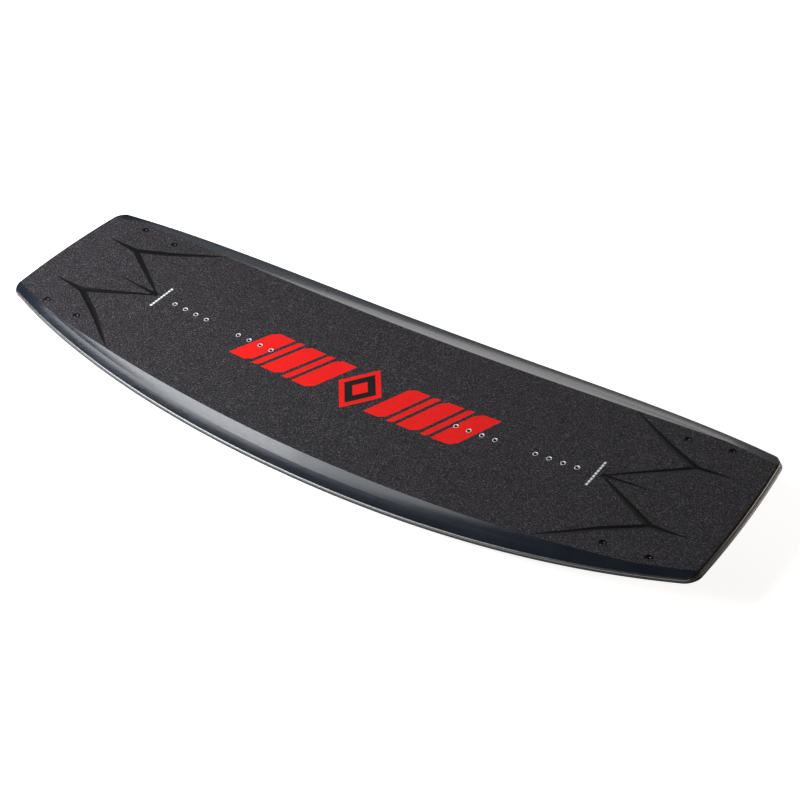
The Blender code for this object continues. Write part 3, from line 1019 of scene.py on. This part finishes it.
def build_deck_skin(finishes):
    """The printed top sheet, with its rolled edge, pressed grooves and the holes through it."""
    shape = bmesh.new()
    loops = [add_ring(shape, ring) for ring in edge_rows(rolled_edge(), skin_z)]
    under = [(*point, skin_underside(*point)) for point in eased_ring_at(BEAD_WIDTH, 1)]
    loops.append(add_ring(shape, under))
    bridge_all(shape, loops, LIP)
    for face in shape.faces:
        x, y, _ = face.calc_center_median()
        if abs(x) > tip_x(y) - TIP_ROUNDING - BEAD_WIDTH:
            face.material_index = TIP
    holes = deck_holes()
    mouths, feet = hole_walls(shape, holes, skin_z, skin_underside)
    creases, printed = deck_lines([vertex.co.xy for vertex in loops[0]])
    lines = creases + printed
    points = deck_points(lines, mouths + [loops[0]])
    in_mouth = inside_holes(holes, MOUTH_MARGIN)
    borders = [loops[0]] + mouths
    fill(shape, borders, pressed_deck_z, lines, points, in_mouth, deck_paint, len(creases))
    inner = [(x, y) for x, y in points if is_well_inside(x, y) and abs(y) < half_width(x) - RAIL_WIDTH]
    fill(shape, [loops[-1]] + feet, skin_underside, (), inner, inside_holes(holes))
    paints = [finishes[name] for name in DECK_FINISHES]
    new_piece("deck_skin", shape, paints, "top_sheet", sharp_angle=40)


# Rails, spacers and base


def rail_profile(x, y):
    """Inset and height of the side of the board between its two sheets, at an edge point."""
    low = rocker(x) + BASE_EDGE + SEAM
    high = rail_top(x, y)
    return [(RAIL_SETBACK + inset, low + (high - low) * share) for share, inset in RAIL_PROFILE]


def rail_section(x, side):
    """A rail's outline at one station: its outer face, its top under the deck, its inner foot."""
    edge = Vector((x, half_width(x)))
    slope = (half_width(x + MM) - half_width(x - MM)) / (2 * MM)
    inward = Vector((slope, -1)).normalized()
    beaded = edge + inward * BEAD_RADIUS
    section = [(x, side * (edge + inward * inset).y, z) for inset, z in rail_profile(*beaded)]
    for inset in (BEAD_WIDTH, RAIL_WIDTH):
        y = half_width(x) - inset
        section.append((x, side * y, rail_top(x, y)))
    y = half_width(x) - RAIL_WIDTH
    section.append((x, side * y, rail_foot(x, y)))
    return section


def build_rail(name, side, finishes):
    """A rail along one edge, as a strip swept between the two spacers."""
    shape = bmesh.new()
    stations = [SPACER_START * (i / SIDE_STEPS - 1) for i in range(2 * SIDE_STEPS + 1)]
    sections = [add_ring(shape, rail_section(x, side)) for x in stations]
    bridge_all(shape, sections)
    shape.faces.new(sections[0])
    shape.faces.new(sections[-1])
    new_piece(name, shape, [finishes["rail"]], name)


def spacer_loop(side):
    """Edge points round a tip with their inward directions, then points back along the cut."""
    cut_x = side * (SPACER_START + GAP)
    cut_y = half_width(cut_x)
    rim = [pair for pair in zip(OUTLINE, INWARD) if pair[0].x * side > abs(cut_x) + MM]
    rim.sort(key=lambda pair: pair[0].y)
    first = (Vector((cut_x, -cut_y)), Vector((0, 1)))
    last = (Vector((cut_x, cut_y)), Vector((0, -1)))
    level = Vector((0, 0))
    back = [(Vector((cut_x, cut_y * share)), level) for share in SPACER_CUT_SHARES]
    return [first] + rim + [last] + back


def build_spacer(name, side, finishes):
    """The block that fills one tip, with the rail's profile round its outer edge."""
    shape = bmesh.new()
    loop = spacer_loop(side)
    slant = TIP_ROUNDING * (1 - TIP_EDGE_SHARE)
    last_row = len(RAIL_PROFILE) - 1
    loops = []
    for row in range(last_row + 1):
        ring = []
        for point, inward in loop:
            inset, z = rail_profile(*(point + inward * BEAD_RADIUS))[row]
            inset += slant * tip_facing(inward) * row / last_row
            ring.append((*(point + inward * inset), z))
        loops.append(add_ring(shape, ring))
    inner = [p + inward * (BEAD_WIDTH + TIP_ROUNDING * tip_facing(inward)) for p, inward in loop]
    loops.append(add_ring(shape, [(*spot, rail_top(*spot)) for spot in inner]))
    bridge_all(shape, loops)
    fill(shape, [loops[-1]], rail_top)
    fill(shape, [loops[0]], rail_foot)
    new_piece(name, shape, [finishes["tip"]], name)


def base_points(holes):
    """Rows of points over the base, clear of its edge and its holes."""
    points = []
    columns = int(HALF_LENGTH / STATION_STEP)
    for column in range(-columns, columns + 1):
        x = column * STATION_STEP
        reach = half_width(x)
        count = int(2 * reach / (3 * STATION_STEP))
        for i in range(1, count):
            spot = Vector((x, reach * (2 * i / count - 1)))
            near = min((spot - middle).length for middle, _ in holes)
            clear_of_edge = abs(spot.y) < reach - BEAD_WIDTH - MM
            if is_well_inside(*spot) and clear_of_edge and near > CLEAR_OF_HOLES:
                points.append(tuple(spot))
    return points


def build_base(finishes):
    """The base sheet, with an eased lower edge and the holes for the fin bolts."""
    shape = bmesh.new()
    rounding = 0.3 * BASE_BEVEL
    rows = (
        (BEAD_WIDTH, BASE_SHEET),
        (RAIL_SETBACK, BASE_EDGE),
        (BASE_SETBACK, BASE_EDGE - EDGE_EASE),
        (BASE_SETBACK, BASE_BEVEL),
        (BASE_SETBACK + rounding, rounding),
        (BASE_SETBACK + BASE_BEVEL, 0),
    )
    loops = []
    for inset, lift in rows:
        loops.append(add_ring(shape, [(*p, rocker(p.x) + lift) for p in ring_at(inset)]))
    bridge_all(shape, loops)
    holes = base_holes()
    points = base_points(holes)
    mouths, feet = hole_walls(shape, holes, base_top, base_bottom, bevel_top=False)
    fill(shape, [loops[0]] + mouths, base_top, (), points, inside_holes(holes))
    in_mouth = inside_holes(holes, MOUTH_MARGIN)
    fill(shape, [loops[-1]] + feet, base_bottom, (), points, in_mouth)
    new_piece("base_skin", shape, [finishes["base"]], "base_sheet")


# Fittings


def insert_profile():
    """Radius and height of a threaded bush, from the foot up, over the lip and down the bore."""
    neck = INSERT_FLANGE - INSERT_LENGTH
    ease = 0.2 * MM
    raised = 0.08 * MM
    turned = [
        (INSERT_FLANGE_RADIUS, -INSERT_LENGTH),
        (INSERT_FLANGE_RADIUS, neck),
        (INSERT_RADIUS, neck),
        (INSERT_RADIUS, -ease),
        (INSERT_RADIUS - ease, raised / 2),
        (INSERT_BORE + 0.75 * MM, raised),
        (INSERT_BORE + 0.5 * MM, -0.05 * MM),
        (INSERT_BORE, -0.6 * MM),
    ]
    half_pitch = INSERT_PITCH / 2
    for i in range(int((INSERT_BORE_DEPTH - MM) / half_pitch)):
        crest = INSERT_THREAD_DEPTH if i % 2 == 0 else 0
        turned.append((INSERT_BORE - crest, -MM - i * half_pitch))
    turned.append((INSERT_BORE, -INSERT_BORE_DEPTH))
    return turned


def build_inserts(finishes):
    """Threaded steel bushes, with a raised lip, a countersunk mouth and a bore painted dark as painted
    shade.
    """
    paints = [finishes["steel"], finishes["bolt"]]
    for name, place in INSERTS.items():
        shape = bmesh.new()
        stack_rings(shape, place, [(circle(r, INSERT_SIDES), z) for r, z in insert_profile()])
        for face in shape.faces:
            spot = place.inverted() @ face.calc_center_median()
            # The faces down the bore take the dark bolt finish: painted shade in the hole
            in_shaded_bore = spot.xy.length < INSERT_BORE - 0.1 * MM
            if in_shaded_bore and spot.z > -INSERT_BORE_DEPTH - MM:
                face.material_index = 1
        new_piece(name, shape, paints, name)


def build_sleeve(label, place, top, finishes):
    """The bush round a fin bolt, with a recess for the bolt's head."""
    floor = top - RECESS_DEPTH
    ease = 0.3 * MM
    turned = [
        (SLEEVE_RADIUS, SLEEVE_LIFT),
        (SLEEVE_RADIUS, top - ease),
        (SLEEVE_RADIUS - ease / 2, top - ease / 4),
        (SLEEVE_RADIUS - ease, top),
        (RECESS_RADIUS + ease, top),
        (RECESS_RADIUS + ease / 4, top - ease / 4),
        (RECESS_RADIUS, top - ease),
        (RECESS_RADIUS, floor),
        (SLEEVE_BORE + ease, floor),
        (SLEEVE_BORE, floor - ease),
        (SLEEVE_BORE, SLEEVE_LIFT),
    ]
    shape = bmesh.new()
    stack_rings(shape, place, [(circle(r, TURNED_SIDES), z) for r, z in turned], closed=True)
    name = f"fin_sleeve_{label}"
    new_piece(name, shape, [finishes["sleeve"]], name)


def threaded_circle(z):
    """A ring of the shank, whose radius follows a right-hand thread."""
    points = []
    for i in range(TURNED_SIDES):
        turn = 2 * math.pi * i / TURNED_SIDES
        phase = (z / BOLT_THREAD - i / TURNED_SIDES) % 1
        radius = SHANK_RADIUS - THREAD_DEPTH * abs(2 * phase - 1)
        points.append((radius * math.cos(turn), radius * math.sin(turn)))
    return points


def bolt_rings(top):
    """Outlines and heights of a cap screw, from its tip up to its head and into the socket."""
    seat = top - RECESS_DEPTH + GAP
    crown = seat + HEAD_HEIGHT
    ease = 0.45 * MM
    countersink = 0.4 * MM
    socket_tip = 0.3 * MM
    step = BOLT_THREAD / 4
    heights = [SHANK_END + step * i for i in range(1, int((seat - MM - SHANK_END) / step))]
    head = (
        (SHANK_RADIUS, seat - 0.6 * MM),
        (SHANK_RADIUS, seat),
        (HEAD_RADIUS - ease / 2, seat),
        (HEAD_RADIUS, seat + ease / 2),
        (HEAD_RADIUS, crown - ease),
        (HEAD_RADIUS - ease / 3, crown - ease / 3),
        (HEAD_RADIUS - ease, crown),
        (SOCKET_APOTHEM + 0.75 * MM, crown),
    )
    socket_end = crown - SOCKET_DEPTH
    rings = [(circle(SHANK_RADIUS - 2 * THREAD_DEPTH, TURNED_SIDES), SHANK_END)]
    rings += [(threaded_circle(z), z) for z in heights]
    rings += [(circle(radius, TURNED_SIDES), z) for radius, z in head]
    rings += [(hexagon(SOCKET_APOTHEM, TURNED_SIDES), z) for z in (crown - countersink, socket_end)]
    rings.append((circle(socket_tip, TURNED_SIDES), socket_end - countersink))
    return rings


def build_bolt(label, place, top, finishes):
    """A cap screw with a threaded shank and a hexagon socket in its head."""
    shape = bmesh.new()
    stack_rings(shape, place, bolt_rings(top))
    name = f"fin_bolt_{label}"
    new_piece(name, shape, [finishes["bolt"]], name, f"{label}_bolt")


def fin_section(depth):
    """Length, thickness, rake and squareness of the fin at a depth, eased between its rings."""
    for above, below in zip(FIN_RINGS, FIN_RINGS[1:]):
        if depth <= below[0]:
            share = (depth - above[0]) / (below[0] - above[0])
            return [a + (b - a) * share for a, b in zip(above[1:], below[1:])]
    return FIN_RINGS[-1][1:]


def fin_outline(length, width, rake, power, side):
    points = []
    for i in range(FIN_POINTS):
        turn = 2 * math.pi * i / FIN_POINTS
        across, along = math.sin(turn), math.cos(turn)
        x = math.copysign(abs(along) ** (2 / power), along) * length / 2
        points.append((x + side * rake, across * width / 2))
    return points


def fin_ring(depth, side):
    """The fin's outline at a depth, averaged over the depths around it and rounded at the keel."""
    deepest = FIN_RINGS[-1][0]
    nearby = [depth + shift * MM for shift in (-2, -1, 0, 1, 2)]
    sections = [fin_section(min(max(level, 0), deepest)) for level in nearby]
    length, width, rake, power = (sum(values) / len(values) for values in zip(*sections))
    trim = FIN_TOP_EASE if depth == 0 else 0.0
    if depth > deepest - FIN_KEEL_EASE:
        drop = depth - deepest + FIN_KEEL_EASE
        trim = 2 * (FIN_KEEL_EASE - math.sqrt(max(FIN_KEEL_EASE**2 - drop**2, 0)))
    outline = fin_outline(length - trim, width - trim, rake, power, side)
    return [(x, y, FIN_TOP - depth) for x, y in outline]


def fin_top(x, y):
    return FIN_TOP


def build_fin(corner, side, place, finishes):
    """A low moulded fin with a rounded keel, and two blind pockets for its threaded bushes."""
    shape = bmesh.new()
    depths = [FIN_RINGS[-1][0] * i / FIN_STEPS for i in range(FIN_STEPS + 1)]
    loops = [add_ring(shape, fin_ring(depth, side)) for depth in depths]
    bridge_all(shape, loops)
    shape.faces.new(loops[-1])
    reach = NUT_RADIUS + GAP
    middles = [Vector((offset, 0)) for offset in (-BOLT_PITCH / 2, BOLT_PITCH / 2)]
    mouths = []
    for middle in middles:
        ring = [middle + Vector(point) for point in circle(reach, HOLE_SIDES)]
        mouth, floor = (add_ring(shape, [(*p, z) for p in ring]) for z in (FIN_TOP, POCKET_END))
        bridge(shape, mouth, floor)
        shape.faces.new(floor)
        mouths.append(mouth)
    pockets = inside_holes([(middle, reach) for middle in middles], -MERGE_DISTANCE)
    fill(shape, [loops[0]] + mouths, fin_top, is_hole=pockets)
    shape.transform(place)
    name = f"fin_{corner}"
    new_piece(name, shape, [finishes["fin"]], name, f"{corner}_fin")


def build_fittings(finishes):
    for label, (place, distance) in BOLTS.items():
        top = distance - SLEEVE_SINK
        build_sleeve(label, place, top, finishes)
        build_bolt(label, place, top, finishes)
    for end, side in ENDS:
        for edge in EDGES:
            corner = f"{end}_{edge}"
            inner, outer = (BOLTS[f"{corner}_{place}"][0] for place in PLACES)
            seat = (inner.translation + outer.translation) / 2
            build_fin(corner, side, tilted_place(seat, inner.col[2].xyz), finishes)


def dress_inner_layers(finishes):
    """Gives the CAD nodes that stay their materials."""
    chosen = {
        "bottom_laminate": "glass",
        "top_laminate": "glass",
        "wood_core": "wood",
        "insert_strip_": "strip",
        "fin_nut_": "brass",
    }
    for name, node in frame["nodes"].items():
        for start, finish in chosen.items():
            if name.startswith(start):
                for slot in node.material_slots:
                    slot.material = finishes[finish]


# The studio


def add_floor():
    finish, shader = new_material("floor_white", (0.86, 0.86, 0.86), 0.6, specular=0.2)
    cloud = noise(finish, scale=3.0)
    tone = blend_colours(finish, cloud, (0.85, 0.85, 0.85), (0.88, 0.88, 0.88))
    finish.node_tree.links.new(tone, shader.inputs["Base Color"])
    shader.inputs["Emission Color"].default_value = (1, 1, 1, 1)
    shader.inputs["Emission Strength"].default_value = FLOOR_GLOW
    shape = bmesh.new()
    square = ((-1, -1), (1, -1), (1, 1), (-1, 1))
    shape.faces.new(add_ring(shape, [(x * FLOOR_REACH, y * FLOOR_REACH, 0) for x, y in square]))
    floor = new_object("floor", shape, [finish])
    floor.location.z = cad_box[0][2] - FLOOR_DROP


def add_softbox(name, location, target, size, power, colour):
    light = bpy.data.lights.new(name, "AREA")
    light.shape = "RECTANGLE"
    light.size, light.size_y = size
    light.energy = power
    light.color = colour
    made = bpy.data.objects.new(name, light)
    made.location = location
    made.rotation_euler = (Vector(target) - Vector(location)).to_track_quat("-Z", "Y").to_euler()
    made.visible_camera = False
    bpy.context.scene.collection.objects.link(made)


def add_world():
    world = bpy.data.worlds.new("studio")
    world.use_nodes = True
    background = world.node_tree.nodes["Background"]
    background.inputs["Color"].default_value = WORLD_COLOUR
    background.inputs["Strength"].default_value = WORLD_STRENGTH
    bpy.context.scene.world = world


def add_camera():
    lens = bpy.data.cameras.new("camera")
    lens.lens = CAMERA_LENS
    camera = bpy.data.objects.new("camera", lens)
    camera.matrix_world = (
        Matrix.Translation(CAMERA_TARGET)
        @ Matrix.Rotation(CAMERA_AZIMUTH, 4, "Z")
        @ Matrix.Rotation(math.pi / 2 - CAMERA_ELEVATION, 4, "X")
        @ Matrix.Rotation(CAMERA_ROLL, 4, "Z")
        @ Matrix.Translation((0, 0, CAMERA_DISTANCE))
    )
    bpy.context.scene.collection.objects.link(camera)
    bpy.context.scene.camera = camera


def build_studio():
    add_floor()
    add_world()
    for name, settings in SOFTBOXES.items():
        add_softbox(name, *settings)
    bpy.context.scene.view_settings.view_transform = "Standard"
    add_camera()


def build_board():
    finishes = make_finishes()
    build_deck_skin(finishes)
    build_rail("toe_rail", 1, finishes)
    build_rail("heel_rail", -1, finishes)
    build_spacer("nose_spacer", 1, finishes)
    build_spacer("tail_spacer", -1, finishes)
    build_base(finishes)
    build_inserts(finishes)
    build_fittings(finishes)
    dress_inner_layers(finishes)


build_board()
build_studio()
